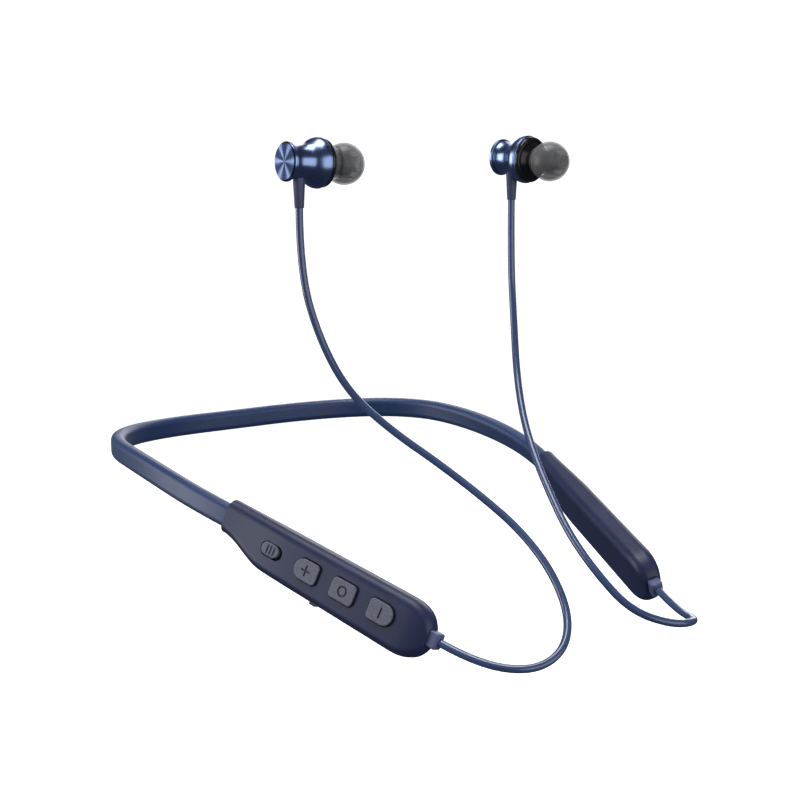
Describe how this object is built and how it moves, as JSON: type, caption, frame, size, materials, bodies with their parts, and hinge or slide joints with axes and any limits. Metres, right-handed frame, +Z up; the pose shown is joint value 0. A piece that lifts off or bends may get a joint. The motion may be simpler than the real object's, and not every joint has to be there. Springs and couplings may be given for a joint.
{
  "type": "neckband earphones",
  "caption": "Neckband earphones: a rubber band with a control housing and a battery housing at its ends, each with a cord to a metal earbud with a silicone tip.",
  "frame": {"origin": "middle of the band's inner face at the back of the neck, where the neck holds it", "axes": "+Z up, +X to the wearer's left, the arms run forwards along -Y"},
  "size_m": [0.1296, 0.1931, 0.1299],
  "materials": {
    "band_rubber": "satin",
    "housing_plastic": "satin",
    "key_plastic": "matte",
    "gland_plastic": "satin",
    "relief_rubber": "satin",
    "cord_jacket": "satin",
    "anodised_metal": "polished",
    "black_plastic": "gloss",
    "tip_silicone": "satin",
    "spring_steel": "brushed",
    "mesh_steel": "satin",
    "socket_steel": "polished",
    "screw_steel": "satin",
    "magnet_nickel": "polished",
    "driver_metal": "satin",
    "board_laminate": "satin",
    "chip_resin": "matte",
    "switch_metal": "satin",
    "pad_rubber": "matte",
    "cell_foil": "satin",
    "foam_tape": "matte",
    "wire_jacket": "satin"
  },
  "bodies": {
    "neckband": {"band_sleeve": "band_rubber", "band_spring": "spring_steel", "band_wires": "wire_jacket", "battery_cell": "cell_foil", "battery_leads": "wire_jacket", "battery_tape": "foam_tape", "board_screws": "screw_steel", "button_pad": "pad_rubber", "charging_socket": "socket_steel", "dome_switches": "switch_metal", "left_bud_cap": "anodised_metal", "left_bud_driver": "driver_metal", "left_bud_magnet": "magnet_nickel", "left_bud_nozzle": "black_plastic", "left_bud_shell": "anodised_metal", "left_cord": "cord_jacket", "left_gland": "gland_plastic", "left_inner_shell": "housing_plastic", "left_nozzle_mesh": "mesh_steel", "left_outer_shell": "housing_plastic", "left_strain_relief": "relief_rubber", "main_board": "board_laminate", "microphone": "switch_metal", "radio_chip": "chip_resin", "right_bud_cap": "anodised_metal", "right_bud_driver": "driver_metal", "right_bud_magnet": "magnet_nickel", "right_bud_nozzle": "black_plastic", "right_bud_shell": "anodised_metal", "right_cord": "cord_jacket", "right_gland": "gland_plastic", "right_inner_shell": "housing_plastic", "right_nozzle_mesh": "mesh_steel", "right_outer_shell": "housing_plastic", "right_strain_relief": "relief_rubber", "safety_board": "board_laminate", "slide_switch": "chip_resin"},
    "minus_key": {"button_minus": "key_plastic"},
    "multi_key": {"button_multi": "key_plastic"},
    "plus_key": {"button_plus": "key_plastic"},
    "left_tip": {"left_ear_tip": "tip_silicone"},
    "cover": {"port_cover": "relief_rubber"},
    "slider": {"power_slider": "key_plastic"},
    "right_tip": {"right_ear_tip": "tip_silicone"}
  },
  "joints": [
    {"name": "plus_key_press", "type": "slide", "parent": "neckband", "child": "plus_key", "axis": [0.8973, 0.339, -0.2826], "range_m": [0, 0.0003], "stiffness_N_per_m": 600},
    {"name": "multi_key_press", "type": "slide", "parent": "neckband", "child": "multi_key", "axis": [0.8973, 0.339, -0.2826], "range_m": [0, 0.0003], "stiffness_N_per_m": 600},
    {"name": "minus_key_press", "type": "slide", "parent": "neckband", "child": "minus_key", "axis": [0.8973, 0.339, -0.2826], "range_m": [0, 0.0003], "stiffness_N_per_m": 600},
    {"name": "slider_shift", "type": "slide", "parent": "neckband", "child": "slider", "axis": [0.27, -0.9282, -0.2561], "range_m": [0, 0.0012]},
    {"name": "cover_swing", "type": "hinge", "parent": "neckband", "child": "cover", "pos_m": [-0.04867, -0.1355, -0.02651], "axis": [-0.8973, -0.339, 0.2826], "range_deg": [0, 95]},
    {"name": "right_tip_pull", "type": "slide", "parent": "neckband", "child": "right_tip", "axis": [0.9992, 0, -0.0401], "range_m": [0, 0.007]},
    {"name": "left_tip_pull", "type": "slide", "parent": "neckband", "child": "left_tip", "axis": [0.1495, -0.9869, -0.061], "range_m": [0, 0.007]}
  ]
}
